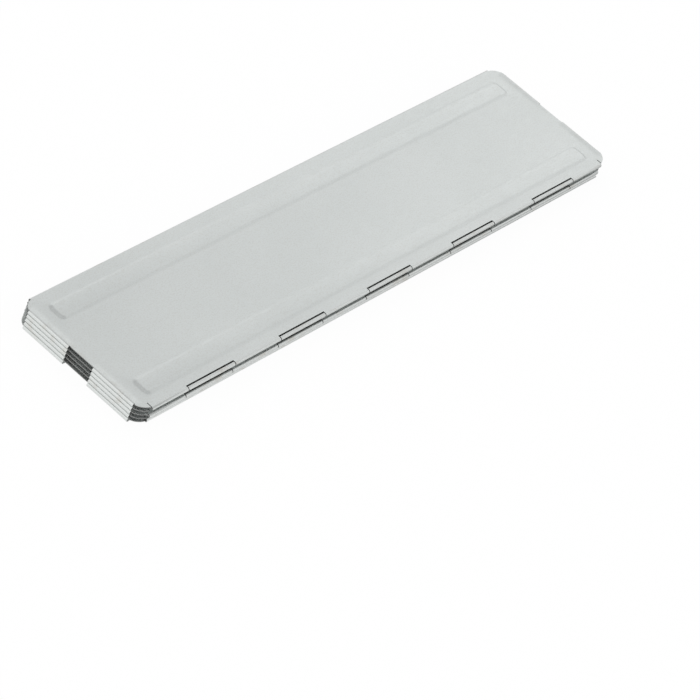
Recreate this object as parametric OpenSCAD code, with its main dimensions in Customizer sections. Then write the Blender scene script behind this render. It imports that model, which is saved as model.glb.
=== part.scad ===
// Folding stove windscreen. Five pressed aluminium panels are joined by four pinned
// hinges and lie folded on each other like a closed accordion. Millimetres, +Z up,
// origin under the middle of the folded stack. X runs along the hinges, and the hinge
// between the top panel and the second one is on the -Y side.

/* [Panels] */
// Length of a panel over its side hems
panel_length = 345; // [240:1:450]
// Distance between the two hinge lines of a panel
panel_width = 77.5; // [60:0.5:120]
// Thickness of the aluminium sheet
sheet_thickness = 0.4; // [0.3:0.05:0.5]
// Radius of a panel's rounded corners
corner_radius = 8; // [4:0.5:9]
// Distance from a hinge line to the edge of the flat corners beside it
corner_setback = 0.15; // [0.1:0.05:0.4]

/* [Hinges] */
// Diameter of the wire pin in a hinge
pin_diameter = 1; // [0.8:0.1:1.2]
// Radial clearance between a pin and its knuckles
pin_clearance = 0.05; // [0.02:0.01:0.1]
// End play of a pin between its two lips
pin_end_play = 0.4; // [0.2:0.1:1]
// Number of knuckles on the inner leaf of a hinge
inner_knuckles = 5; // [3:1:7]
// Length of the two end knuckles of a hinge
end_knuckle_length = 24; // [12:0.5:30]
// Distance from the end of a panel to the end of its hinges
hinge_inset = 6.5; // [5:0.5:10]
// Gap between neighbouring knuckles along the pin
knuckle_gap = 0.5; // [0.3:0.1:1]
// Gap between a barrel and the edge of the cut-out behind it
leaf_gap = 0.35; // [0.3:0.05:0.8]
// Radius of the inner corners of a cut-out
cutout_radius = 0.5; // [0.3:0.1:0.8]
// Width of the strip between the flat sheet and the knuckles
flange_width = 3; // [2:0.1:4]
// Gap where a rolled knuckle closes under its sheet
seam_gap = 0.2; // [0.1:0.05:0.3]
// Length of the pinched lip that keeps a pin in
lip_length = 0.8; // [0.5:0.1:2]
// How far the pinched lip reaches in over the end of the pin
lip_depth = 0.3; // [0.15:0.05:0.35]

/* [Rolled edges] */
// Outer radius of the side hems and of the rolled free edges
roll_radius = 1; // [0.9:0.05:1.3]
// Length of the bare notch in the middle of a side hem
hem_notch = 15.5; // [8:0.5:30]
// Distance from a hinge line to the end of a side hem
hem_inset = 5.6; // [5:0.1:10]
// Width of the flat foot of a rolled edge
foot_width = 1.2; // [0.6:0.1:2.5]
// Slit between the end of a rolled edge and the flat sheet beside it
relief_gap = 0.4; // [0.2:0.1:1]
// Gap between a rolled edge and the next panel of the folded stack
stack_gap = 0.3; // [0.2:0.05:0.6]
// Distance from a hinge line to the bend of a free edge
free_edge_setback = 0.6; // [0.6:0.1:3]

/* [Ribs] */
// Width of a pressed rib
rib_width = 11.6; // [9:0.1:14]
// Mean distance from a hinge line to the near side of a rib
rib_inset = 6.2; // [5.5:0.1:10]
// How far both ribs sit off the middle, towards the hinge of the top panel
rib_shift = 0.7; // [0:0.1:1]
// Distance from the end of a panel to the end of a rib
rib_end_inset = 9.5; // [8:0.5:30]
// Radius of a rib's corners, seen from above
rib_radius = 3.4; // [2.8:0.1:4.4]
// Width of a rib's sloping side, seen from above
rib_slope = 2.2; // [1:0.1:2.6]
// Gap between two ribs that face each other in the folded stack
rib_gap = 0.8; // [0.3:0.05:1]

/* [Hidden] */
$fn = 64;
ALUMINIUM = [0.78, 0.80, 0.79];
STEEL = [0.60, 0.61, 0.63];
PANEL_COUNT = 5;
UP = 1;
DOWN = -1;

bore_radius = pin_diameter / 2 + pin_clearance;
barrel_radius = bore_radius + sheet_thickness;
// Distance from one sheet of the folded stack to the next
pitch = 2 * roll_radius + stack_gap;
// Distance from the middle of a rolled knuckle's sheet to the middle of its barrel
barrel_depth = barrel_radius - sheet_thickness / 2;
// How far the flange of a lower panel slopes up to meet the upper panel's barrels
flange_rise = pitch - 2 * barrel_depth;
// Distance from a hinge line to where a flange runs out level in the flat sheet
flange_root = flange_width + sheet_thickness;
rib_height = (pitch - sheet_thickness - rib_gap) / 2;

hinge_length = panel_length - 2 * hinge_inset;
hinge_start = -hinge_length / 2;
knuckle_pitch = (hinge_length - 2 * end_knuckle_length) / (2 * inner_knuckles - 1);
first_knuckle = hinge_start + end_knuckle_length;
span_margin = knuckle_gap / 2;
leaf_edge = barrel_radius + leaf_gap;
// Angle at which the rolled end of a knuckle stops short of its sheet
seam_angle = asin((bore_radius - seam_gap) / barrel_radius);
pin_length = hinge_length - knuckle_gap - 2 * lip_length - pin_end_play;
pin_chamfer = 0.2 * pin_diameter;

// Half the length of the flat sheet between its two side bends
bend_x = panel_length / 2 - roll_radius;
hem_length = (panel_width - hem_notch) / 2 - hem_inset;
rib_length = panel_length - 2 * rib_end_inset;

// Both leaves of a hinge share one row of spans: the outer leaf has the two end
// spans and every second one between them, and the inner leaf has the rest.
OUTER_SPANS = concat(
    [[hinge_start, first_knuckle]],
    [for (i = [0:inner_knuckles - 2]) span_from(2 * i + 1)],
    [[-first_knuckle, -hinge_start]]
);
INNER_SPANS = [for (i = [0:inner_knuckles - 1]) span_from(2 * i)];

function span_from(i) = [first_knuckle + i * knuckle_pitch, first_knuckle + (i + 1) * knuckle_pitch];

// Height of the middle of a panel's sheet, where panel 1 is the top of the stack
function sheet_z(panel) = 2 * roll_radius - sheet_thickness / 2 + (PANEL_COUNT - panel) * pitch;

// Extrudes a profile drawn in Y and Z along +X
module along_x(length) {
    rotate([90, 0, 90]) linear_extrude(length) children();
}

// Extrudes a profile drawn in X and Z along +Y
module along_y(length) {
    translate([0, length, 0]) rotate([90, 0, 0]) linear_extrude(length) children();
}

module ring(outer, inner) {
    difference() {
        circle(outer);
        circle(inner);
    }
}

// Rectangle with round corners between two opposite corners
module rounded_rectangle(low, high, radius) {
    translate([low.x + radius, low.y]) square([high.x - low.x - 2 * radius, high.y - low.y]);
    translate([low.x, low.y + radius]) square([high.x - low.x, high.y - low.y - 2 * radius]);
    for (x = [low.x + radius, high.x - radius], y = [low.y + radius, high.y - radius])
        translate([x, y]) circle(radius);
}

// Section through a rolled knuckle. Its sheet comes in from +x over the top of the
// barrel, goes down round the front and back up until it closes under itself.
module knuckle_profile(inner) {
    reach = 2 * barrel_radius;
    difference() {
        ring(barrel_radius, inner);
        polygon([[0, 0], reach * [cos(seam_angle), sin(seam_angle)], [reach, reach], [0, reach]]);
    }
}

// Section through a rolled edge. The sheet comes in from +x with its top at 0, rolls
// down and under, lies flat along the foot and ends in a curled-in lip.
module roll_profile() {
    inner = roll_radius - sheet_thickness;
    translate([0, -sheet_thickness]) square([roll_radius, sheet_thickness]);
    intersection() {
        translate([0, -roll_radius]) ring(roll_radius, inner);
        translate([-roll_radius, -2 * roll_radius]) square([roll_radius, 2 * roll_radius]);
    }
    translate([0, -2 * roll_radius]) square([foot_width, sheet_thickness]);
    intersection() {
        translate([foot_width, -roll_radius]) ring(roll_radius, inner);
        translate([foot_width, -2 * roll_radius]) square(roll_radius);
    }
}

// One knuckle on the hinge line, rolled below the sheet, which drops first to meet it
module knuckle(start, end, inner, drop) {
    translate([start, 0, -barrel_depth - drop]) along_x(end - start) knuckle_profile(inner);
}

// The knuckles of one leaf. The outermost ones of an outer leaf are pinched at their
// far ends, so that the pin can't slide out.
module leaf_knuckles(spans, pinched, drop) {
    last = len(spans) - 1;
    for (i = [0:last]) {
        start = spans[i][0] + span_margin;
        end = spans[i][1] - span_margin;
        lip_at_start = pinched && i == 0 ? lip_length : 0;
        lip_at_end = pinched && i == last ? lip_length : 0;
        knuckle(start + lip_at_start, end - lip_at_end, bore_radius, drop);
        if (lip_at_start > 0) knuckle(start, start + lip_length, bore_radius - lip_depth, drop);
        if (lip_at_end > 0) knuckle(end - lip_length, end, bore_radius - lip_depth, drop);
    }
}

// The strip from the flat sheet to the knuckles of one leaf, with openings for the
// knuckles of the other leaf
module hinge_flange(other_spans, drop) {
    length = hinge_length - knuckle_gap;
    half = sheet_thickness / 2;
    depth = 2 * pitch;
    difference() {
        translate([-length / 2, 0, 0]) along_x(length) polygon([
            [0, -drop - half], [flange_width, -half], [flange_root, -half],
            [flange_root, half], [flange_width, half], [0, half - drop]
        ]);
        translate([0, 0, -depth / 2]) linear_extrude(depth) leaf_cutouts(other_spans);
    }
}

// Rolled edge along a panel's free long side, as long as a hinge
module free_roll() {
    translate([hinge_start, free_edge_setback, sheet_thickness / 2]) along_x(hinge_length) roll_profile();
}

// What the long side of a panel carries: a flange with knuckles, or a rolled free edge
module long_side(kind, roll) {
    mirror([0, 0, roll == UP ? 1 : 0]) {
        if (kind == "outer") {
            leaf_knuckles(OUTER_SPANS, true, 0);
            hinge_flange(INNER_SPANS, 0);
        }
        if (kind == "inner") {
            leaf_knuckles(INNER_SPANS, false, flange_rise);
            hinge_flange(OUTER_SPANS, flange_rise);
        }
        if (kind == "free") free_roll();
    }
}

// Openings in a flange for the knuckles of the other leaf
module leaf_cutouts(spans) {
    for (span = spans) {
        low = [span[0] - span_margin, -2 * leaf_edge];
        high = [span[1] + span_margin, leaf_edge];
        rounded_rectangle(low, high, cutout_radius);
    }
}

// What a flange takes from the outline of the flat sheet along a hinged long side
module long_side_cut(kind) {
    strip = hinge_length + knuckle_gap;
    if (kind != "free") translate([-strip / 2, -flange_width]) square([strip, 2 * flange_width]);
}

// Distance from a hinge line to the edge of the flat corners
function corner_edge(kind) = kind == "free" ? free_edge_setback : corner_setback;

module sheet_outline(front, back) {
    low = [-panel_length / 2, corner_edge(front)];
    high = [panel_length / 2, panel_width - corner_edge(back)];
    hem_start = hem_inset - relief_gap;
    difference() {
        rounded_rectangle(low, high, corner_radius);
        for (side = [0, 1]) mirror([side, 0])
            translate([bend_x, hem_start]) square([2 * roll_radius, panel_width - 2 * hem_start]);
        long_side_cut(front);
        translate([0, panel_width]) mirror([0, 1]) long_side_cut(back);
    }
}

// Block in the shape of a pressed rib, with sloping sides and round corners
module rib_block() {
    half = [rib_length, rib_width] / 2;
    centre = half - [rib_radius, rib_radius];
    for (x = [-centre.x, centre.x], y = [-centre.y, centre.y])
        translate([x, y, 0]) cylinder(h = rib_height, r1 = rib_radius, r2 = rib_radius - rib_slope);
    translate([-centre.x, 0, 0]) along_x(2 * centre.x) rib_section(half.y);
    translate([0, -centre.y, 0]) along_y(2 * centre.y) rib_section(half.x);
}

module rib_section(half_width) {
    top = half_width - rib_slope;
    polygon([[-half_width, 0], [half_width, 0], [top, rib_height], [-top, rib_height]]);
}

module rib_pair(base) {
    first = rib_inset + rib_width / 2;
    for (y = [first, panel_width - first]) translate([0, y - rib_shift, base]) rib_block();
}

// The flat sheet with its two ribs pressed out of its upper face
module pressed_sheet(front, back) {
    difference() {
        union() {
            translate([0, 0, -sheet_thickness / 2])
                linear_extrude(sheet_thickness) sheet_outline(front, back);
            rib_pair(sheet_thickness / 2);
        }
        rib_pair(-sheet_thickness / 2);
    }
}

// Side hems, in two stretches on each short side, rolled below the sheet
module side_hems() {
    for (side = [0, 1], start = [hem_inset, panel_width - hem_inset - hem_length])
        mirror([side, 0, 0])
            translate([-bend_x, start, sheet_thickness / 2]) along_y(hem_length) roll_profile();
}

// One whole panel in its place in the stack. The front and back are each a kind of
// long side, with the way that it is rolled.
module panel(number, front, front_roll, back, back_roll, rib_roll) {
    color(ALUMINIUM) translate([0, -panel_width / 2, sheet_z(number)]) {
        mirror([0, 0, rib_roll == UP ? 0 : 1]) pressed_sheet(front, back);
        side_hems();
        long_side(front, front_roll);
        translate([0, panel_width, 0]) mirror([0, 1, 0]) long_side(back, back_roll);
    }
}

module top_panel() {
    panel(1, "outer", DOWN, "free", DOWN, UP);
}

module second_panel() {
    panel(2, "inner", UP, "outer", DOWN, DOWN);
}

module third_panel() {
    panel(3, "outer", DOWN, "inner", UP, UP);
}

module fourth_panel() {
    panel(4, "inner", UP, "outer", DOWN, DOWN);
}

module bottom_panel() {
    panel(5, "free", UP, "inner", UP, UP);
}

// Wire pin between a panel and the next one below it. Odd hinges are on the -Y side.
module hinge_pin(upper_panel) {
    side = upper_panel % 2 == 1 ? -1 : 1;
    radius = pin_diameter / 2;
    shaft = pin_length / 2 - pin_chamfer;
    color(STEEL)
        translate([0, side * panel_width / 2, sheet_z(upper_panel) - barrel_depth])
        rotate([0, 90, 0])
        rotate_extrude()
        polygon([
            [0, -pin_length / 2], [radius - pin_chamfer, -pin_length / 2], [radius, -shaft],
            [radius, shaft], [radius - pin_chamfer, pin_length / 2], [0, pin_length / 2]
        ]);
}

module first_hinge_pin() {
    hinge_pin(1);
}

module second_hinge_pin() {
    hinge_pin(2);
}

module third_hinge_pin() {
    hinge_pin(3);
}

module fourth_hinge_pin() {
    hinge_pin(4);
}

top_panel();
second_panel();
third_panel();
fourth_panel();
bottom_panel();
first_hinge_pin();
second_hinge_pin();
third_hinge_pin();
fourth_hinge_pin();
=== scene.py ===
"""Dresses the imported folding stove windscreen: rolled aluminium panels, wire pins and a studio."""

import logging
import math
from dataclasses import dataclass, field
from enum import Enum

import bmesh
import bpy
from mathutils import Matrix, Vector


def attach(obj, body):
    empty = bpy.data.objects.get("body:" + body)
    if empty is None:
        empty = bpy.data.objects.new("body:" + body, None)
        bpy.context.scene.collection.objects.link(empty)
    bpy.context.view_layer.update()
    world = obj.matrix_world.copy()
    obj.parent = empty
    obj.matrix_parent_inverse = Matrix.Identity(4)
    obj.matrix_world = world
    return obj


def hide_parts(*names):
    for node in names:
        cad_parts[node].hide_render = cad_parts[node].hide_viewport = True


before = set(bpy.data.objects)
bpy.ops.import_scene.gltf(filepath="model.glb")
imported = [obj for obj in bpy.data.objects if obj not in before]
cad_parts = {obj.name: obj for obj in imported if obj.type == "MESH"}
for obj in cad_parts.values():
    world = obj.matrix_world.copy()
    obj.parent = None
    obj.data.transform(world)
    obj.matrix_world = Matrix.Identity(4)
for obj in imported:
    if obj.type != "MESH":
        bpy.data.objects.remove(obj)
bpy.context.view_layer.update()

log = logging.getLogger("windscreen")

MM = 0.001
UP_AXIS = Vector((0, 0, 1))
# Points of a sheet that are closer than this, in millimetres, are one point
WELD = 0.002
# Points this close to the end of a knuckle, in millimetres, belong to its lip
LIP_REACH = 0.04
# Faces that meet at more than this angle have a sharp edge
SHARP_ANGLE = math.radians(35)

Socket = bpy.types.NodeSocket
Colour = tuple[float, float, float]
Span = tuple[float, float]


class Roll(Enum):
    """Which way an edge is rolled out of its sheet."""

    UP = 1
    DOWN = -1


class LongSide(Enum):
    """What the long side of a panel carries."""

    OUTER = "outer knuckles"
    INNER = "inner knuckles"
    FREE = "rolled free edge"


class Surface(Enum):
    """The finished surfaces of a panel, in the order of its material slots."""

    FACE = 0
    ROLLED = 1
    CUT = 2


@dataclass(frozen=True)
class ScreenSizes:
    """Sizes of the screen in millimetres, as the part's source has them."""

    length: float = 345.0
    width: float = 77.5
    sheet: float = 0.4
    corner_radius: float = 8.0
    corner_setback: float = 0.15
    pin_diameter: float = 1.0
    pin_clearance: float = 0.05
    pin_end_play: float = 0.4
    inner_knuckles: int = 5
    end_knuckle: float = 24.0
    hinge_inset: float = 6.5
    knuckle_gap: float = 0.5
    leaf_gap: float = 0.35
    flange_width: float = 3.0
    seam_gap: float = 0.2
    lip_length: float = 0.8
    lip_depth: float = 0.3
    roll_radius: float = 1.0
    hem_notch: float = 15.5
    hem_inset: float = 5.6
    foot_width: float = 1.2
    relief_gap: float = 0.4
    stack_gap: float = 0.3
    free_setback: float = 0.6
    rib_width: float = 11.6
    rib_inset: float = 6.2
    rib_shift: float = 0.7
    rib_end_inset: float = 9.5
    rib_radius: float = 3.4
    rib_slope: float = 2.2
    rib_gap: float = 0.8
    panels: int = 5

    @property
    def bore_radius(self) -> float:
        """Radius of the bore that a pin turns in."""
        return self.pin_diameter / 2 + self.pin_clearance

    @property
    def barrel_radius(self) -> float:
        """Outer radius of a rolled knuckle."""
        return self.bore_radius + self.sheet

    @property
    def pitch(self) -> float:
        """Distance from one sheet of the folded stack to the next."""
        return 2 * self.roll_radius + self.stack_gap

    @property
    def barrel_depth(self) -> float:
        """Distance from the middle of a rolled knuckle's sheet to the middle of its barrel."""
        return self.barrel_radius - self.sheet / 2

    @property
    def rib_height(self) -> float:
        """Height of a pressed rib above its sheet."""
        return (self.pitch - self.sheet - self.rib_gap) / 2

    @property
    def hinge_start(self) -> float:
        """Where a hinge begins along X."""
        return self.hinge_inset - self.length / 2

    @property
    def span_margin(self) -> float:
        """What a knuckle gives up of its span at each end."""
        return self.knuckle_gap / 2

    @property
    def leaf_edge(self) -> float:
        """Distance from a hinge line to the edge of the cut-outs beside it."""
        return self.barrel_radius + self.leaf_gap

    @property
    def knuckle_turn(self) -> float:
        """Angle that a knuckle is rolled through, in radians."""
        return 1.5 * math.pi + math.asin((self.bore_radius - self.seam_gap) / self.barrel_radius)

    @property
    def bend_x(self) -> float:
        """Half the length of the flat sheet between its two side bends."""
        return self.length / 2 - self.roll_radius

    @property
    def corner_x(self) -> float:
        """Distance from the middle to the centres of the corner arcs, along X."""
        return self.length / 2 - self.corner_radius

    @property
    def hem_length(self) -> float:
        """Length of one stretch of a side hem."""
        return (self.width - self.hem_notch) / 2 - self.hem_inset

    @property
    def hem_begins(self) -> tuple[float, float]:
        """Where the two stretches of a side hem begin, from the front."""
        return self.hem_inset, self.width - self.hem_inset - self.hem_length

    @property
    def pin_length(self) -> float:
        """Length of a hinge pin."""
        return -2 * self.hinge_start - self.knuckle_gap - 2 * self.lip_length - self.pin_end_play

    def sheet_z(self, number: int) -> float:
        """Height of the middle of a panel's sheet, where panel 1 is the top one."""
        return 2 * self.roll_radius - self.sheet / 2 + (self.panels - number) * self.pitch

    def spans(self, side: LongSide) -> list[tuple[float, float]]:
        """Lists where the knuckles of one leaf are along X, with their gaps taken off.

        Args:
            side: The outer or the inner leaf.

        Returns:
            The start and end of each knuckle, from left to right.
        """
        first = self.hinge_start + self.end_knuckle
        step = -2 * first / (2 * self.inner_knuckles - 1)
        cuts = [first + i * step for i in range(2 * self.inner_knuckles)]
        cuts = [self.hinge_start, *cuts, -self.hinge_start]
        begin = 0 if side is LongSide.OUTER else 1
        pairs = zip(cuts[begin::2], cuts[begin + 1 :: 2])
        return [(low + self.span_margin, high - self.span_margin) for low, high in pairs]

    def flange_rise(self, side: LongSide) -> float:
        """How far a flange leaves its sheet to meet its barrels."""
        return self.pitch - 2 * self.barrel_depth if side is LongSide.INNER else 0.0

    def corner_edge(self, side: LongSide) -> float:
        """Distance from a hinge line to the flat corners beside it."""
        return self.free_setback if side is LongSide.FREE else self.corner_setback


SIZES = ScreenSizes()


@dataclass(frozen=True)
class Pattern:
    """A noise pattern in object coordinates.

    Attributes:
        scale: Fineness of the pattern, per metre.
        detail: Number of finer layers.
        stretch: Scale of the coordinates along X, Y and Z.
        turn: Turn of the coordinates about Z, in degrees.
    """

    scale: float
    detail: float
    stretch: tuple[float, float, float] = (1.0, 1.0, 1.0)
    turn: float = 0.0


@dataclass(frozen=True)
class Relief:
    """How a pattern is raised: its height in metres and the share that shows."""

    depth: float
    strength: float


class Nodes:
    """Adds and joins the nodes of one node tree."""

    def __init__(self, tree: bpy.types.NodeTree) -> None:
        """Takes the tree to work in."""
        self.tree = tree

    def add(self, kind: str) -> bpy.types.Node:
        """Adds a node, named by the end of its type, and returns it."""
        return self.tree.nodes.new("ShaderNode" + kind)

    def put(self, target: Socket, value: Socket | float | tuple[float, ...]) -> None:
        """Feeds an input.

        Args:
            target: The input.
            value: An output to link to it, or the constant to set.
        """
        if isinstance(value, Socket):
            self.tree.links.new(value, target)
        else:
            target.default_value = value

    def math(self, operation: str, first: Socket, second: Socket | float = 0.0) -> Socket:
        """Combines two values.

        Args:
            operation: Blender's name of the operation.
            first: The first value.
            second: The second value.

        Returns:
            The socket with the result.
        """
        node = self.add("Math")
        node.operation = operation
        self.put(node.inputs[0], first)
        self.put(node.inputs[1], second)
        return node.outputs[0]

    def ranged(
        self,
        value: Socket,
        source: Span = (0.0, 1.0),
        target: tuple[Socket | float, Socket | float] = (0.0, 1.0),
    ) -> Socket:
        """Maps a value from one range to another, clamped.

        Args:
            value: The value to map.
            source: Range that it comes from.
            target: Range that it goes to.

        Returns:
            The socket with the mapped value.
        """
        node = self.add("MapRange")
        self.put(node.inputs["Value"], value)
        for name, end in zip(("From Min", "From Max", "To Min", "To Max"), (*source, *target)):
            self.put(node.inputs[name], end)
        return node.outputs["Result"]

    def ray_share(self, *kinds: str) -> Socket:
        """Tells some kinds of rays from the others.

        Args:
            kinds: Names of the Light Path outputs.

        Returns:
            The socket with 1 for rays of these kinds and 0 for others.
        """
        path = self.add("LightPath")
        share = path.outputs[kinds[0]]
        for kind in kinds[1:]:
            share = self.math("MAXIMUM", share, path.outputs[kind])
        return share

    def axis(self, index: int) -> Socket:
        """Gives one of the object coordinates, 0 for X to 2 for Z."""
        node = self.add("SeparateXYZ")
        self.put(node.inputs["Vector"], self.add("TexCoord").outputs["Object"])
        return node.outputs[index]


class Shader(Nodes):
    """Builds one node material around a Principled shader."""

    def __init__(self, name: str) -> None:
        """Starts a material.

        Args:
            name: Name of the material.
        """
        self.material = bpy.data.materials.new(name)
        self.material.use_nodes = True
        super().__init__(self.material.node_tree)
        self.principled = self.tree.nodes["Principled BSDF"]

    def noise(self, pattern: Pattern) -> Socket:
        """Adds a noise pattern.

        Args:
            pattern: The pattern.

        Returns:
            The socket with a value from 0 to 1.
        """
        place = self.add("Mapping")
        self.put(place.inputs["Vector"], self.add("TexCoord").outputs["Object"])
        self.put(place.inputs["Rotation"], (0.0, 0.0, math.radians(pattern.turn)))
        self.put(place.inputs["Scale"], pattern.stretch)
        node = self.add("TexNoise")
        self.put(node.inputs["Vector"], place.outputs["Vector"])
        self.put(node.inputs["Scale"], pattern.scale)
        self.put(node.inputs["Detail"], pattern.detail)
        return node.outputs["Fac"]

    def blend(self, share: Socket, first: Socket | Colour, second: Colour) -> Socket:
        """Mixes two colours.

        Args:
            share: Share of the second colour.
            first: The first colour, a socket or linear red, green and blue.
            second: The second colour.

        Returns:
            The socket with the mixed colour.
        """
        node = self.add("Mix")
        node.data_type = "RGBA"
        self.put(node.inputs["Factor"], share)
        for name, colour in (("A", first), ("B", second)):
            socket = next(s for s in node.inputs if s.name == name and s.type == "RGBA")
            self.put(socket, colour if isinstance(colour, Socket) else (*colour, 1.0))
        return next(s for s in node.outputs if s.type == "RGBA")

    def bump(self, height: Socket, relief: Relief) -> None:
        """Adds a bump on top of those that the shader has.

        Args:
            height: Height pattern from 0 to 1.
            relief: How far it is raised.
        """
        node = self.add("Bump")
        self.put(node.inputs["Distance"], relief.depth)
        self.put(node.inputs["Strength"], relief.strength)
        self.put(node.inputs["Height"], height)
        normal = self.principled.inputs["Normal"]
        if normal.is_linked:
            self.put(node.inputs["Normal"], normal.links[0].from_socket)
        self.put(normal, node.outputs["Normal"])

    def set(self, name: str, value: Socket | float) -> None:
        """Sets or links one input of the Principled shader."""
        self.put(self.principled.inputs[name], value)


# Part of a noise pattern's range that a roughness spreads over
NOISE_CORE = (0.3, 0.7)


@dataclass(frozen=True)
class SheetAluminium:
    """Satin mill finish of the flat sheets, with rolling grain, clouding and fine scratches.

    Attributes:
        worn_ends: Distance from the middle along X at which wear begins and is full, in metres.
    """

    name: str = "satin_sheet_aluminium"
    colour: Colour = (0.717, 0.749, 0.741)
    cloud_colour: Colour = (0.739, 0.770, 0.762)
    scuff_colour: Colour = (0.46, 0.42, 0.36)
    metallic: float = 0.85
    roughness: Span = (0.30, 0.42)
    cloud: Pattern = Pattern(22, 3)
    cloud_core: Span = (0.35, 0.65)
    mottle: Pattern = Pattern(1500, 2)
    mottle_core: Span = (0.45, 0.75)
    mottle_share: Span = (0.0, 0.22)
    wear: Pattern = Pattern(190, 4)
    wear_core: Span = (0.50, 0.68)
    wear_share: Span = (0.0, 0.35)
    worn_ends: Span = (0.1690, 0.1715)
    grain: Pattern = Pattern(2600, 4, (0.06, 1, 1))
    grain_relief: Relief = Relief(0.00002, 0.35)
    scratch: Pattern = Pattern(900, 2, (0.03, 1, 1), 28)
    scratch_core: Span = (0.66, 0.74)
    scratch_relief: Relief = Relief(0.00002, 0.25)
    wave: Pattern = Pattern(16, 2, (0.5, 1, 1))
    wave_relief: Relief = Relief(0.0004, 0.10)

    def material(self) -> bpy.types.Material:
        """Makes the material and returns it."""
        shader = Shader(self.name)
        clouding = shader.ranged(shader.noise(self.cloud), self.cloud_core)
        colour = shader.blend(clouding, self.colour, self.cloud_colour)
        speck = shader.ranged(shader.noise(self.mottle), self.mottle_core, self.mottle_share)
        colour = shader.blend(speck, colour, self.scuff_colour)
        end = shader.ranged(shader.math("ABSOLUTE", shader.axis(0)), self.worn_ends)
        worn = shader.ranged(shader.noise(self.wear), self.wear_core, self.wear_share)
        colour = shader.blend(shader.math("MULTIPLY", end, worn), colour, self.scuff_colour)
        shader.set("Base Color", colour)
        shader.set("Metallic", self.metallic)
        grain = shader.noise(self.grain)
        shader.set("Roughness", shader.ranged(grain, NOISE_CORE, self.roughness))
        shader.bump(grain, self.grain_relief)
        shader.bump(shader.ranged(shader.noise(self.scratch), self.scratch_core), self.scratch_relief)
        shader.bump(shader.noise(self.wave), self.wave_relief)
        return shader.material


@dataclass(frozen=True)
class RolledAluminium:
    """Burnished finish of hems, knuckles and free edges, with rub marks."""

    name: str = "rolled_edge_aluminium"
    colour: Colour = (0.700, 0.722, 0.710)
    rub_colour: Colour = (0.52, 0.48, 0.42)
    metallic: float = 0.85
    roughness: Span = (0.28, 0.42)
    rub: Pattern = Pattern(140, 4)
    rub_core: Span = (0.54, 0.72)
    rub_share: Span = (0.0, 0.4)
    grain: Pattern = Pattern(1500, 3)
    grain_relief: Relief = Relief(0.00003, 0.3)

    def material(self) -> bpy.types.Material:
        """Makes the material and returns it."""
        shader = Shader(self.name)
        rub = shader.ranged(shader.noise(self.rub), self.rub_core, self.rub_share)
        shader.set("Base Color", shader.blend(rub, self.colour, self.rub_colour))
        shader.set("Metallic", self.metallic)
        grain = shader.noise(self.grain)
        shader.set("Roughness", shader.ranged(grain, NOISE_CORE, self.roughness))
        shader.bump(grain, self.grain_relief)
        return shader.material


@dataclass(frozen=True)
class CutAluminium:
    """Sheared edges of the sheets: dull torn metal with shear lines across the edge, its colours darkened
    as painted shade for edges that lie in shade between the sheets and inside the rolls.
    """

    name: str = "painted_shade_sheared_edge_aluminium"
    # Both colours are far darker than the sheet as painted shade; the burr mix adds a random brownish tint.
    colour: Colour = (0.29, 0.295, 0.29)
    burr_colour: Colour = (0.23, 0.19, 0.16)
    metallic: float = 0.8
    roughness: Span = (0.40, 0.60)
    shear: Pattern = Pattern(3200, 2, (1, 1, 0.1))
    burr_core: Span = (0.5, 0.8)
    burr_share: Span = (0.0, 0.3)
    shear_relief: Relief = Relief(0.00003, 0.15)

    def material(self) -> bpy.types.Material:
        """Makes the material and returns it."""
        shader = Shader(self.name)
        shear = shader.noise(self.shear)
        burr = shader.ranged(shear, self.burr_core, self.burr_share)
        shader.set("Base Color", shader.blend(burr, self.colour, self.burr_colour))
        shader.set("Metallic", self.metallic)
        shader.set("Roughness", shader.ranged(shear, NOISE_CORE, self.roughness))
        shader.bump(shear, self.shear_relief)
        return shader.material


@dataclass(frozen=True)
class DrawnSteel:
    """Drawn wire of the hinge pins, with die lines along the wire."""

    name: str = "drawn_steel_wire"
    colour: Colour = (0.42, 0.43, 0.45)
    dark_colour: Colour = (0.25, 0.25, 0.26)
    metallic: float = 1.0
    roughness: Span = (0.25, 0.40)
    lines: Pattern = Pattern(4000, 3, (0.02, 1, 1))
    dark_core: Span = (0.45, 0.75)
    line_relief: Relief = Relief(0.00002, 0.3)

    def material(self) -> bpy.types.Material:
        """Makes the material and returns it."""
        shader = Shader(self.name)
        lines = shader.noise(self.lines)
        shade = shader.ranged(lines, self.dark_core)
        shader.set("Base Color", shader.blend(shade, self.colour, self.dark_colour))
        shader.set("Metallic", self.metallic)
        shader.set("Roughness", shader.ranged(lines, NOISE_CORE, self.roughness))
        shader.bump(lines, self.line_relief)
        return shader.material


def make_object(name: str, mesh: bmesh.types.BMesh, finishes: list[bpy.types.Material]) -> bpy.types.Object:
    """Turns a finished mesh into an object with smooth bends and sharp edges.

    Args:
        name: Name of the object.
        mesh: The mesh, which is freed.
        finishes: The materials of its slots.

    Returns:
        The object, in the scene.
    """
    for face in mesh.faces:
        face.smooth = True
    data = bpy.data.meshes.new(name)
    mesh.to_mesh(data)
    mesh.free()
    data.set_sharp_from_angle(angle=SHARP_ANGLE)
    for finish in finishes:
        data.materials.append(finish)
    made = bpy.data.objects.new(name, data)
    bpy.context.scene.collection.objects.link(made)
    return made


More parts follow.
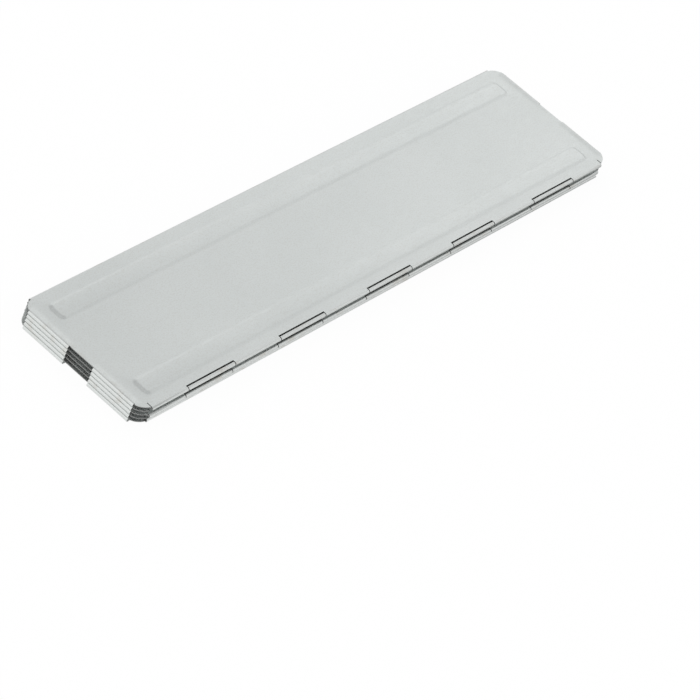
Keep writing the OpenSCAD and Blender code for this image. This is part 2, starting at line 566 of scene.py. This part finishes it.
class OutlinePen:
    """Draws a flat outline as wire, line by line and arc by arc."""

    def __init__(self, mesh: bmesh.types.BMesh, start: Vector, height: float) -> None:
        """Puts the pen down.

        Args:
            mesh: Mesh to draw in.
            start: X and Y of the first point.
            height: Z of the outline.
        """
        self.mesh = mesh
        self.height = height
        self.tip = mesh.verts.new((*start, height))

    def line(self, x: float, y: float) -> bmesh.types.BMEdge:
        """Draws a straight line to a point and returns its edge."""
        drawn = bmesh.ops.extrude_vert_indiv(self.mesh, verts=[self.tip])
        self.tip = drawn["verts"][0]
        self.tip.co = (x, y, self.height)
        return drawn["edges"][0]

    def arc(self, centre: Vector, angle: float, steps: int) -> None:
        """Draws an arc round a centre.

        Args:
            centre: X and Y of the centre.
            angle: Angle to turn, in radians, anticlockwise from above.
            steps: Number of lines in the arc.
        """
        turned = bmesh.ops.spin(
            self.mesh, geom=[self.tip], cent=(*centre, self.height), axis=UP_AXIS, angle=angle, steps=steps
        )
        self.tip = next(item for item in turned["geom_last"] if isinstance(item, bmesh.types.BMVert))


@dataclass(frozen=True)
class PendingRoll:
    """Edges of the flat outline that are rolled later, and how."""

    edges: list[bmesh.types.BMEdge]
    inward: Vector
    direction: Roll
    side: LongSide = LongSide.FREE


@dataclass(frozen=True)
class HemRise:
    """How a sheet rises to its side hems, in millimetres.

    Attributes:
        width: Width of the rising band beside a bend.
        height: Height that it reaches at the bend.
        fade: Distance past the end of a hem in which the rise dies out.
        steps: Number of rows of faces across the band.
    """

    width: float = 3.0
    height: float = 0.17
    fade: float = 1.2
    steps: int = 4


@dataclass
class Panel:
    """One pressed sheet with its ribs, hems, knuckles and free edge."""

    number: int
    node: str
    body: str
    front: LongSide
    front_roll: Roll
    back: LongSide
    back_roll: Roll
    rib_roll: Roll
    sizes: ScreenSizes = SIZES
    rise: HemRise = HemRise()
    roll_steps: int = 28
    flange_steps: int = 4
    rib_levels: int = 10
    corner_steps: int = 10
    mesh: bmesh.types.BMesh = field(init=False)
    rolls: list[PendingRoll] = field(init=False, default_factory=list)

    @property
    def skin(self) -> float:
        """Height of the upper face of the sheet above its middle."""
        return self.sizes.sheet / 2

    @property
    def rise_start(self) -> float:
        """Where the sheet begins to rise to its side hems, along X."""
        return self.sizes.bend_x - self.rise.width

    def build(self, finishes: dict[Surface, bpy.types.Material]) -> bpy.types.Object:
        """Builds the panel, dresses it and puts it on its body.

        Args:
            finishes: The material of each surface.

        Returns:
            The finished piece.
        """
        self.mesh = bmesh.new()
        self.draw_outline()
        self.press_ribs()
        self.fill_sheet()
        self.divide_ends()
        for pending in self.rolls:
            if pending.side is LongSide.FREE:
                self.roll_hem(pending)
            else:
                self.roll_leaf(pending)
        self.raise_ends()
        self.thicken()
        return self.dress(finishes)

    def draw_outline(self) -> None:
        """Draws the outline of the flat sheet and notes the edges that are rolled."""
        start = self.corner_point(self.front, -1, -1, self.corner_entry(self.front))
        pen = OutlinePen(self.mesh, start, self.skin)
        self.draw_long_side(pen, self.front, self.front_roll, 1)
        self.draw_short_side(pen, self.front, self.back, 1)
        self.draw_long_side(pen, self.back, self.back_roll, -1)
        self.draw_short_side(pen, self.back, self.front, -1)

    def corner_centre(self, side: LongSide, right: int, behind: int) -> Vector:
        """Finds the centre of a corner arc.

        Args:
            side: What the long side at the corner carries.
            right: 1 for a right corner and -1 for a left one.
            behind: 1 for a back corner and -1 for a front one.

        Returns:
            X and Y of the centre.
        """
        s = self.sizes
        inset = s.corner_edge(side) + s.corner_radius
        return Vector((right * s.corner_x, s.width - inset if behind == 1 else inset))

    def corner_point(self, side: LongSide, right: int, behind: int, turn: float) -> Vector:
        """Finds a point on a corner arc.

        Args:
            side: What the long side at the corner carries.
            right: 1 for a right corner and -1 for a left one.
            behind: 1 for a back corner and -1 for a front one.
            turn: Angle from the end of the long side, in radians.

        Returns:
            X and Y of the point.
        """
        reach = Vector((right * math.sin(turn), behind * math.cos(turn)))
        return self.corner_centre(side, right, behind) + self.sizes.corner_radius * reach

    def corner_entry(self, side: LongSide) -> float:
        """Angle that the end of a hinge or a free edge takes from a corner arc, in radians."""
        s = self.sizes
        reach = -s.hinge_start + (0 if side is LongSide.FREE else s.span_margin)
        return math.asin((reach - s.corner_x) / s.corner_radius)

    def corner_exit(self, side: LongSide) -> float:
        """Angle at which a corner arc meets the slit beside a hem, in radians."""
        s = self.sizes
        rest = s.corner_edge(side) + s.corner_radius - s.hem_inset + s.relief_gap
        return math.acos(rest / s.corner_radius)

    def draw_long_side(self, pen: OutlinePen, side: LongSide, direction: Roll, facing: int) -> None:
        """Draws one long side, from one corner arc to the next.

        Args:
            pen: Pen at the start of the side.
            side: What the side carries.
            direction: Which way it is rolled.
            facing: 1 for the front, drawn to the right, and -1 for the back, drawn to the left.
        """
        s = self.sizes
        base = 0 if facing == 1 else s.width
        free = side is LongSide.FREE
        root = base + facing * (s.free_setback if free else s.flange_width)
        if not free:
            pen.line(facing * (s.hinge_start - s.span_margin), root)
        cuts = self.root_cuts(side)
        pen.line(facing * cuts[0], root)
        edges = [pen.line(facing * cut, root) for cut in cuts[1:]]
        self.rolls.append(PendingRoll(edges, Vector((0, facing, 0)), direction, side))
        if not free:
            pen.line(facing * (s.span_margin - s.hinge_start), root)
        pen.line(*self.corner_point(side, facing, -facing, self.corner_entry(side)))

    def root_cuts(self, side: LongSide) -> list[float]:
        """Lists where the root of a rolled long side is divided along X.

        Args:
            side: What the side carries.

        Returns:
            The places from left to right, from the start of the roll to its end.
        """
        s = self.sizes
        if side is LongSide.FREE:
            return [s.hinge_start, -s.hinge_start]
        cuts = [cut for span in s.spans(side) for cut in span]
        first = s.hinge_start + s.span_margin
        lip = first + s.lip_length
        return [first, lip, *cuts[1:-1], -lip, -first] if side is LongSide.OUTER else [first, *cuts, -first]

    def draw_short_side(self, pen: OutlinePen, near: LongSide, far: LongSide, facing: int) -> None:
        """Draws one short side with its two corners and the bends of its hems.

        Args:
            pen: Pen at the end of a long side.
            near: What the long side before it carries.
            far: What the long side after it carries.
            facing: 1 for the right side, drawn to the back, and -1 for the left, drawn to the front.
        """
        s = self.sizes
        base = 0 if facing == 1 else s.width
        bend = facing * s.bend_x
        hem_start = s.hem_inset - s.relief_gap
        turn = self.corner_exit(near) - self.corner_entry(near)
        pen.arc(self.corner_centre(near, facing, -facing), turn, self.corner_steps)
        pen.line(bend, base + facing * hem_start)
        for begin in s.hem_begins:
            pen.line(bend, base + facing * begin)
            edge = pen.line(bend, base + facing * (begin + s.hem_length))
            self.rolls.append(PendingRoll([edge], Vector((-facing, 0, 0)), Roll.DOWN))
        pen.line(bend, base + facing * (s.width - hem_start))
        pen.line(*self.corner_point(far, facing, facing, self.corner_exit(far)))
        turn = self.corner_exit(far) - self.corner_entry(far)
        pen.arc(self.corner_centre(far, facing, facing), turn, self.corner_steps)

    def press_ribs(self) -> None:
        """Presses the two ribs out of the sheet, with soft bends at their feet and tops."""
        s = self.sizes
        first = s.rib_inset + s.rib_width / 2
        for centre in (first - s.rib_shift, s.width - first - s.rib_shift):
            levels = []
            for step in range(self.rib_levels + 1):
                share = step / self.rib_levels
                rise = s.rib_height * (1 - math.cos(math.pi * share)) / 2
                height = self.skin + self.rib_roll.value * rise
                levels.append(self.draw_rib_loop(centre, share * s.rib_slope, height))
            for lower, upper in zip(levels, levels[1:]):
                bmesh.ops.bridge_loops(self.mesh, edges=lower + upper)
            bmesh.ops.contextual_create(self.mesh, geom=levels[-1])

    def draw_rib_loop(self, centre: float, inset: float, height: float) -> list[bmesh.types.BMEdge]:
        """Draws one level of a rib as a rounded rectangle.

        Args:
            centre: Y of the middle of the rib.
            inset: How far the level lies inside the rib's foot.
            height: Z of the level.

        Returns:
            The edges of the closed loop.
        """
        s = self.sizes
        radius = s.rib_radius - inset
        right = s.length / 2 - s.rib_end_inset - s.rib_radius
        half = s.rib_width / 2 - s.rib_radius
        before = set(self.mesh.edges)
        reach = Vector((0, -radius))
        pen = OutlinePen(self.mesh, Vector((-right, centre - half)) + reach, height)
        first = pen.tip
        for x, y in ((right, -half), (right, half), (-right, half), (-right, -half)):
            corner = Vector((x, centre + y))
            pen.line(*(corner + reach))
            pen.arc(corner, math.pi / 2, self.corner_steps)
            reach = Vector((-reach.y, reach.x))
        bmesh.ops.pointmerge(self.mesh, verts=[first, pen.tip], merge_co=first.co)
        return [edge for edge in self.mesh.edges if edge not in before]

    def fill_sheet(self) -> None:
        """Fills the flat sheet between its outline and the feet of the ribs."""
        bmesh.ops.remove_doubles(self.mesh, verts=self.mesh.verts[:], dist=WELD)
        rim = [edge for edge in self.mesh.edges if len(edge.link_faces) < 2]
        bmesh.ops.triangle_fill(self.mesh, use_beauty=True, edges=rim, normal=UP_AXIS)
        if any(edge.is_wire for edge in rim):
            raise RuntimeError(f"the sheet of {self.node} isn't filled")

    def divide_ends(self) -> None:
        """Divides the flat sheet beside its side hems, so that it can rise to them.

        One row more lies before the rise, so that the flat sheet is shaded as flat.
        """
        s = self.sizes
        for side in (-1, 1):
            for row in range(-1, self.rise.steps):
                reach = self.rise_start + row * self.rise.width / self.rise.steps
                self.divide(self.mesh.faces[:], Vector((side * reach, 0, 0)))
        for begin in s.hem_begins:
            end = begin + s.hem_length
            for reach in (begin - self.rise.fade, begin, end, end + self.rise.fade):
                self.divide(self.end_faces(), Vector((0, reach, 0)))

    def end_faces(self) -> list[bmesh.types.BMFace]:
        """Lists the faces that lie where the sheet rises to its side hems."""
        start = self.rise_start - WELD
        return [face for face in self.mesh.faces if min(abs(vert.co.x) for vert in face.verts) > start]

    def divide(self, faces: list[bmesh.types.BMFace], place: Vector) -> None:
        """Cuts faces along the plane that meets an arrow from the origin squarely at its tip.

        Args:
            faces: The faces to cut.
            place: The arrow's tip.
        """
        verts = dict.fromkeys(vert for face in faces for vert in face.verts)
        edges = dict.fromkeys(edge for face in faces for edge in face.edges)
        parts = [*verts, *edges, *faces]
        bmesh.ops.bisect_plane(
            self.mesh, geom=parts, dist=WELD, plane_co=place, plane_no=place.normalized()
        )

    def raise_ends(self) -> None:
        """Lifts the sheet towards its side hems and leaves the feet of the hems in place."""
        s = self.sizes
        for vert in self.mesh.verts:
            x, y, z = vert.co
            across = max(0.0, (abs(x) - self.rise_start) / self.rise.width)
            above = max(0.0, 1 - (self.skin - z) / (2 * s.roll_radius))
            past = min(max(begin - y, y - begin - s.hem_length) for begin in s.hem_begins)
            beside = min(1.0, max(0.0, 1 - past / self.rise.fade))
            vert.co.z = z + self.rise.height * across * above * beside

    def roll_leaf(self, pending: PendingRoll) -> None:
        """Slopes a flange down to its hinge line and rolls its knuckles.

        Args:
            pending: The divided root of the flange.
        """
        s = self.sizes
        edges = self.slope(pending, pending.edges, s.flange_width, s.leaf_edge)
        spans = s.spans(pending.side)
        tongues = [edge for edge in edges if any(low < self.middle_x(edge) < high for low, high in spans)]
        tongues = self.slope(pending, tongues, s.leaf_edge, 0.0)
        radius = s.barrel_radius if pending.direction is Roll.DOWN else s.bore_radius
        pivot = tongues[0].verts[0].co + pending.direction.value * radius * UP_AXIS
        turn = -pending.direction.value * s.knuckle_turn
        before = set(self.mesh.verts)
        self.curl(tongues, pivot, pending.inward.cross(UP_AXIS), turn, self.roll_steps)
        if pending.side is LongSide.OUTER:
            end = -s.hinge_start - s.span_margin - LIP_REACH
            lips = [vert for vert in self.mesh.verts if vert not in before and abs(vert.co.x) > end]
            share = 1 - s.lip_depth / s.barrel_radius
            bmesh.ops.scale(self.mesh, verts=lips, vec=(1, share, share), space=Matrix.Translation(-pivot))

    @staticmethod
    def middle_x(edge: bmesh.types.BMEdge) -> float:
        """X of the middle of an edge."""
        return (edge.verts[0].co.x + edge.verts[1].co.x) / 2

    def slope(
        self, pending: PendingRoll, edges: list[bmesh.types.BMEdge], start: float, end: float
    ) -> list[bmesh.types.BMEdge]:
        """Extrudes edges of a flange towards its hinge line, on a soft double bend.

        Args:
            pending: The flange.
            edges: The edges to extrude.
            start: Their distance from the hinge line.
            end: The distance to stop at.

        Returns:
            The new outer edges.
        """
        s = self.sizes

        def drop(distance: float) -> float:
            """How far the flange has left its sheet at a distance from the hinge line."""
            share = 1 - distance / s.flange_width
            return s.flange_rise(pending.side) * share * share * (3 - 2 * share)

        for step in range(self.flange_steps):
            near = start + (end - start) * step / self.flange_steps
            far = start + (end - start) * (step + 1) / self.flange_steps
            rise = pending.direction.value * (drop(far) - drop(near))
            edges = self.pull(edges, (far - near) * pending.inward + rise * UP_AXIS)
        return edges

    def pull(self, edges: list[bmesh.types.BMEdge], way: Vector) -> list[bmesh.types.BMEdge]:
        """Extrudes edges straight and returns the new outer edges.

        Args:
            edges: The edges to extrude.
            way: How far to move them.

        Returns:
            The new edges at the end.
        """
        new = bmesh.ops.extrude_edge_only(self.mesh, edges=edges)["geom"]
        verts = {item for item in new if isinstance(item, bmesh.types.BMVert)}
        bmesh.ops.translate(self.mesh, verts=list(verts), vec=way)
        new_edges = [item for item in new if isinstance(item, bmesh.types.BMEdge)]
        return [edge for edge in new_edges if verts.issuperset(edge.verts)]

    def roll_hem(self, pending: PendingRoll) -> None:
        """Rolls an edge under, flattens its foot and curls its lip in.

        Args:
            pending: The edge at the bend.
        """
        s = self.sizes
        radius = s.roll_radius - (0 if pending.direction is Roll.DOWN else s.sheet)
        turn = -pending.direction.value * math.pi
        axis = pending.inward.cross(UP_AXIS)
        pivot = pending.edges[0].verts[0].co + pending.direction.value * radius * UP_AXIS
        before = set(self.mesh.faces)
        edges = self.curl(pending.edges, pivot, axis, turn, self.roll_steps // 2)
        foot = pending.inward * s.foot_width
        edges = self.pull(edges, foot)
        self.curl(edges, pivot + foot, axis, turn / 2, self.roll_steps // 4)
        for face in self.mesh.faces:
            if face not in before:
                face.material_index = Surface.ROLLED.value

    def curl(
        self, edges: list[bmesh.types.BMEdge], pivot: Vector, axis: Vector, angle: float, steps: int
    ) -> list[bmesh.types.BMEdge]:
        """Turns edges round an axis and leaves a curved strip behind them.

        Args:
            edges: Edges to turn.
            pivot: A point on the axis.
            axis: Direction of the axis.
            angle: Angle to turn, in radians.
            steps: Number of faces in the strip.

        Returns:
            The edges at the end of the strip.
        """
        before = set(self.mesh.faces)
        verts = list({vert for edge in edges for vert in edge.verts})
        turned = bmesh.ops.spin(
            self.mesh, geom=[*verts, *edges], cent=pivot, axis=axis, angle=angle, steps=steps
        )
        for face in self.mesh.faces:
            if face not in before:
                face.material_index = Surface.ROLLED.value
        return [item for item in turned["geom_last"] if isinstance(item, bmesh.types.BMEdge)]

    def thicken(self) -> None:
        """Gives the sheet its thickness below the upper face and marks the cut edges."""
        bmesh.ops.remove_doubles(self.mesh, verts=self.mesh.verts[:], dist=WELD)
        bmesh.ops.recalc_face_normals(self.mesh, faces=self.mesh.faces[:])
        largest = max(self.mesh.faces, key=lambda face: face.calc_area())
        if largest.normal.z < 0:
            bmesh.ops.reverse_faces(self.mesh, faces=self.mesh.faces[:])
        self.mesh.normal_update()
        upper = set(self.mesh.verts)
        bmesh.ops.solidify(self.mesh, geom=self.mesh.faces[:], thickness=self.sizes.sheet)
        for face in self.mesh.faces:
            above = sum(vert in upper for vert in face.verts)
            if 0 < above < len(face.verts):
                face.material_index = Surface.CUT.value

    def dress(self, finishes: dict[Surface, bpy.types.Material]) -> bpy.types.Object:
        """Makes the piece from the finished mesh, in its place in the stack.

        Args:
            finishes: The material of each surface.

        Returns:
            The piece, on its body.
        """
        s = self.sizes
        place = Matrix.Scale(MM, 4) @ Matrix.Translation((0, -s.width / 2, s.sheet_z(self.number)))
        bmesh.ops.transform(self.mesh, matrix=place, verts=self.mesh.verts[:])
        bmesh.ops.recalc_face_normals(self.mesh, faces=self.mesh.faces[:])
        piece = make_object(self.node + "_sheet", self.mesh, [finishes[surface] for surface in Surface])
        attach(piece, self.body)
        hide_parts(self.node)
        return piece


@dataclass
class HingePin:
    """A straight wire pin with chamfered ends."""

    upper_panel: int
    node: str
    body: str
    sizes: ScreenSizes = SIZES
    segments: int = 32
    chamfer_share: float = 0.2
    chamfer_steps: int = 3

    def build(self, finish: bpy.types.Material) -> bpy.types.Object:
        """Builds the pin, dresses it and puts it on its body.

        Args:
            finish: Material of the wire.

        Returns:
            The finished piece.
        """
        s = self.sizes
        radius = s.pin_diameter / 2
        mesh = bmesh.new()
        bmesh.ops.create_cone(
            mesh, cap_ends=True, segments=self.segments, radius1=radius, radius2=radius, depth=s.pin_length
        )
        ends = [edge for edge in mesh.edges if edge.verts[0].co.z * edge.verts[1].co.z > 0]
        bmesh.ops.bevel(
            mesh,
            geom=ends,
            offset=self.chamfer_share * s.pin_diameter,
            affect="EDGES",
            segments=self.chamfer_steps,
            profile=0.5,
            material=-1,
        )
        side = -1 if self.upper_panel % 2 == 1 else 1
        height = s.sheet_z(self.upper_panel) - s.barrel_depth
        place = Matrix.Translation((0, side * s.width / 2, height)) @ Matrix.Rotation(math.pi / 2, 4, "Y")
        bmesh.ops.transform(mesh, matrix=Matrix.Scale(MM, 4) @ place, verts=mesh.verts[:])
        piece = make_object(self.node + "_wire", mesh, [finish])
        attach(piece, self.body)
        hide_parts(self.node)
        return piece


@dataclass(frozen=True)
class Softbox:
    """One rectangular lamp that looks at a point of the screen."""

    name: str
    place: tuple[float, float, float]
    size: tuple[float, float]
    power: float
    target: tuple[float, float, float] = (0.0, 0.0, 0.0)

    def build(self) -> bpy.types.Object:
        """Makes the lamp and returns it."""
        data = bpy.data.lights.new(self.name, "AREA")
        data.shape = "RECTANGLE"
        data.size, data.size_y = self.size
        data.energy = self.power
        lamp = bpy.data.objects.new(self.name, data)
        lamp.location = self.place
        lamp.rotation_euler = (Vector(self.target) - Vector(self.place)).to_track_quat("-Z", "Y").to_euler()
        bpy.context.scene.collection.objects.link(lamp)
        return lamp


@dataclass(frozen=True)
class Studio:
    """White floor, soft lamps and the camera at the photograph's angle.

    Attributes:
        floor_half: Half the width of the floor, in metres.
        floor_colour: Colour of the matt floor that takes the shadow.
        floor_glow: Share of plain white in what is seen of the floor.
        floor_fade: Where that white fades along X for metal, in metres, and its strengths there; this fade
            is painted shade that metal sees in the floor.
        fill_light: Strength of the surrounding as a light.
        sky_axis: Direction along which metal sees the surrounding change.
        sky: Reach along that direction and strength there, from one end to the other.
        azimuth: Turn of the camera's view from +Y towards +X, in degrees.
        elevation: Angle at which the camera looks down, in degrees.
        tilt: Turn of the picture about the camera's own axis, in degrees.
        eye: Place of the camera, in metres.
        lens: Focal length for the sensor, in millimetres.
        sensor: Width of the sensor, in millimetres.
        clip: Nearest and farthest distance that the camera sees, in metres.
        softboxes: The lamps.
    """

    floor_half: float = 8.0
    floor_colour: Colour = (0.95, 0.95, 0.95)
    floor_glow: float = 0.95
    floor_fade: tuple[Span, Span] = ((-0.17, 0.12), (1.0, 0.5))
    fill_light: float = 1.0
    sky_axis: tuple[float, float, float] = (1.0, 0.0, -0.35)
    sky: tuple[Span, ...] = (
        (-1.0, 0.95),
        (-0.60, 0.93),
        (-0.45, 0.75),
        (-0.28, 0.48),
        (0.14, 0.45),
        (0.29, 0.50),
        (0.41, 0.76),
        (0.47, 1.0),
        (0.62, 1.0),
        (0.76, 0.72),
        (1.0, 0.60),
    )
    azimuth: float = 63.913
    elevation: float = 39.653
    tilt: float = -23.470
    eye: tuple[float, float, float] = (-1.3416, -0.6914, 1.1984)
    lens: float = 211.70
    sensor: float = 36.0
    clip: Span = (0.05, 50.0)
    softboxes: tuple[Softbox, ...] = (
        Softbox("key_softbox", (1.5, 0.6, 0.72), (0.7, 0.7), 0.25),
        Softbox("left_softbox", (-1.7, 0.5, 0.8), (1.2, 1.2), 1.2),
        Softbox("front_softbox", (1.5, -1.3, 0.75), (1.0, 0.8), 0.5),
    )

    def build(self) -> None:
        """Makes the stage, the lamps and the camera."""
        bpy.context.scene.view_settings.view_transform = "Standard"
        self.make_world()
        self.make_floor()
        for softbox in self.softboxes:
            softbox.build()
        self.make_camera()

    def make_world(self) -> None:
        """Makes a white surrounding that lights the scene softly, and in which metal sees a grey band."""
        world = bpy.data.worlds.new("studio_surround")
        world.use_nodes = True
        nodes = Nodes(world.node_tree)
        along = nodes.add("VectorMath")
        along.operation = "DOT_PRODUCT"
        nodes.put(along.inputs[0], nodes.add("TexCoord").outputs["Generated"])
        nodes.put(along.inputs[1], self.sky_axis)
        sky = nodes.add("ValToRGB")
        nodes.put(sky.inputs["Fac"], nodes.ranged(along.outputs["Value"], (-1.0, 1.0)))
        stops = sky.color_ramp.elements
        while len(stops) < len(self.sky):
            stops.new(0.5)
        for stop, (reach, shade) in zip(stops, self.sky):
            stop.position = (1 + reach) / 2
            stop.color = (shade, shade, shade, 1)
        mirrored = nodes.ray_share("Is Glossy Ray")
        light = nodes.ranged(mirrored, target=(self.fill_light, sky.outputs["Color"]))
        seen = nodes.ray_share("Is Camera Ray", "Is Transmission Ray")
        background = nodes.tree.nodes["Background"]
        nodes.put(background.inputs["Color"], (1.0, 1.0, 1.0, 1.0))
        nodes.put(background.inputs["Strength"], nodes.ranged(seen, target=(light, 1.0)))
        bpy.context.scene.world = world

    def make_floor(self) -> bpy.types.Object:
        """Makes the pale floor and returns it."""
        mesh = bmesh.new()
        bmesh.ops.create_grid(mesh, x_segments=1, y_segments=1, size=self.floor_half)
        return make_object("studio_floor", mesh, [self.floor_material()])

    def floor_material(self) -> bpy.types.Material:
        """Makes a white floor that keeps a faint shadow, with painted shade fading along X where metal sees
        it, and returns its material.
        """
        material = bpy.data.materials.new("white_floor")
        material.use_nodes = True
        nodes = Nodes(material.node_tree)
        nodes.tree.nodes.remove(nodes.tree.nodes["Principled BSDF"])
        matt = nodes.add("BsdfDiffuse")
        nodes.put(matt.inputs["Color"], (*self.floor_colour, 1.0))
        # Painted shade: for metal the floor's white fades to half strength towards +X.
        fade = nodes.ranged(nodes.axis(0), *self.floor_fade)
        seen = nodes.ray_share("Is Camera Ray", "Is Transmission Ray")
        glow = nodes.add("Emission")
        nodes.put(glow.inputs["Strength"], nodes.ranged(seen, target=(fade, 1.0)))
        shown = nodes.ray_share("Is Camera Ray", "Is Glossy Ray", "Is Transmission Ray")
        mix = nodes.add("MixShader")
        nodes.put(mix.inputs["Fac"], nodes.math("MULTIPLY", shown, self.floor_glow))
        nodes.put(mix.inputs[1], matt.outputs["BSDF"])
        nodes.put(mix.inputs[2], glow.outputs["Emission"])
        nodes.put(nodes.tree.nodes["Material Output"].inputs["Surface"], mix.outputs["Shader"])
        return material

    def make_camera(self) -> None:
        """Makes the camera, turned about its own axis as the picture is."""
        azimuth, elevation, tilt = (math.radians(a) for a in (self.azimuth, self.elevation, self.tilt))
        level = Vector((math.cos(azimuth), -math.sin(azimuth), 0))
        ahead = Vector((0, 0, -math.sin(elevation)))
        ahead += math.cos(elevation) * Vector((math.sin(azimuth), math.cos(azimuth), 0))
        upright = level.cross(ahead)
        right = math.cos(tilt) * level - math.sin(tilt) * upright
        top = math.sin(tilt) * level + math.cos(tilt) * upright
        data = bpy.data.cameras.new("photo_camera")
        data.lens = self.lens
        data.sensor_width = self.sensor
        data.clip_start, data.clip_end = self.clip
        camera = bpy.data.objects.new("photo_camera", data)
        turn = Matrix((right, top, -ahead)).transposed().to_4x4()
        camera.matrix_world = Matrix.Translation(self.eye) @ turn
        bpy.context.scene.collection.objects.link(camera)
        bpy.context.scene.camera = camera


PANELS = (
    Panel(1, "top_panel", "top", LongSide.OUTER, Roll.DOWN, LongSide.FREE, Roll.DOWN, Roll.UP),
    Panel(2, "second_panel", "second", LongSide.INNER, Roll.UP, LongSide.OUTER, Roll.DOWN, Roll.DOWN),
    Panel(3, "third_panel", "third", LongSide.OUTER, Roll.DOWN, LongSide.INNER, Roll.UP, Roll.UP),
    Panel(4, "fourth_panel", "fourth", LongSide.INNER, Roll.UP, LongSide.OUTER, Roll.DOWN, Roll.DOWN),
    Panel(5, "bottom_panel", "bottom", LongSide.FREE, Roll.UP, LongSide.INNER, Roll.UP, Roll.UP),
)
PINS = (
    HingePin(1, "first_hinge_pin", "top"),
    HingePin(2, "second_hinge_pin", "second"),
    HingePin(3, "third_hinge_pin", "third"),
    HingePin(4, "fourth_hinge_pin", "fourth"),
)


def write_sizes() -> None:
    """Updates the view layer."""
    bpy.context.view_layer.update()


def main() -> None:
    """Builds and dresses every piece, then sets the stage."""
    logging.basicConfig(level=logging.INFO)
    finishes = {
        Surface.FACE: SheetAluminium().material(),
        Surface.ROLLED: RolledAluminium().material(),
        Surface.CUT: CutAluminium().material(),
    }
    steel = DrawnSteel().material()
    for panel in PANELS:
        piece = panel.build(finishes)
        log.info("%s: %d faces", piece.name, len(piece.data.polygons))
    for pin in PINS:
        piece = pin.build(steel)
        log.info("%s: %d faces", piece.name, len(piece.data.polygons))
    Studio().build()
    write_sizes()


if __name__ == "__main__":
    main()
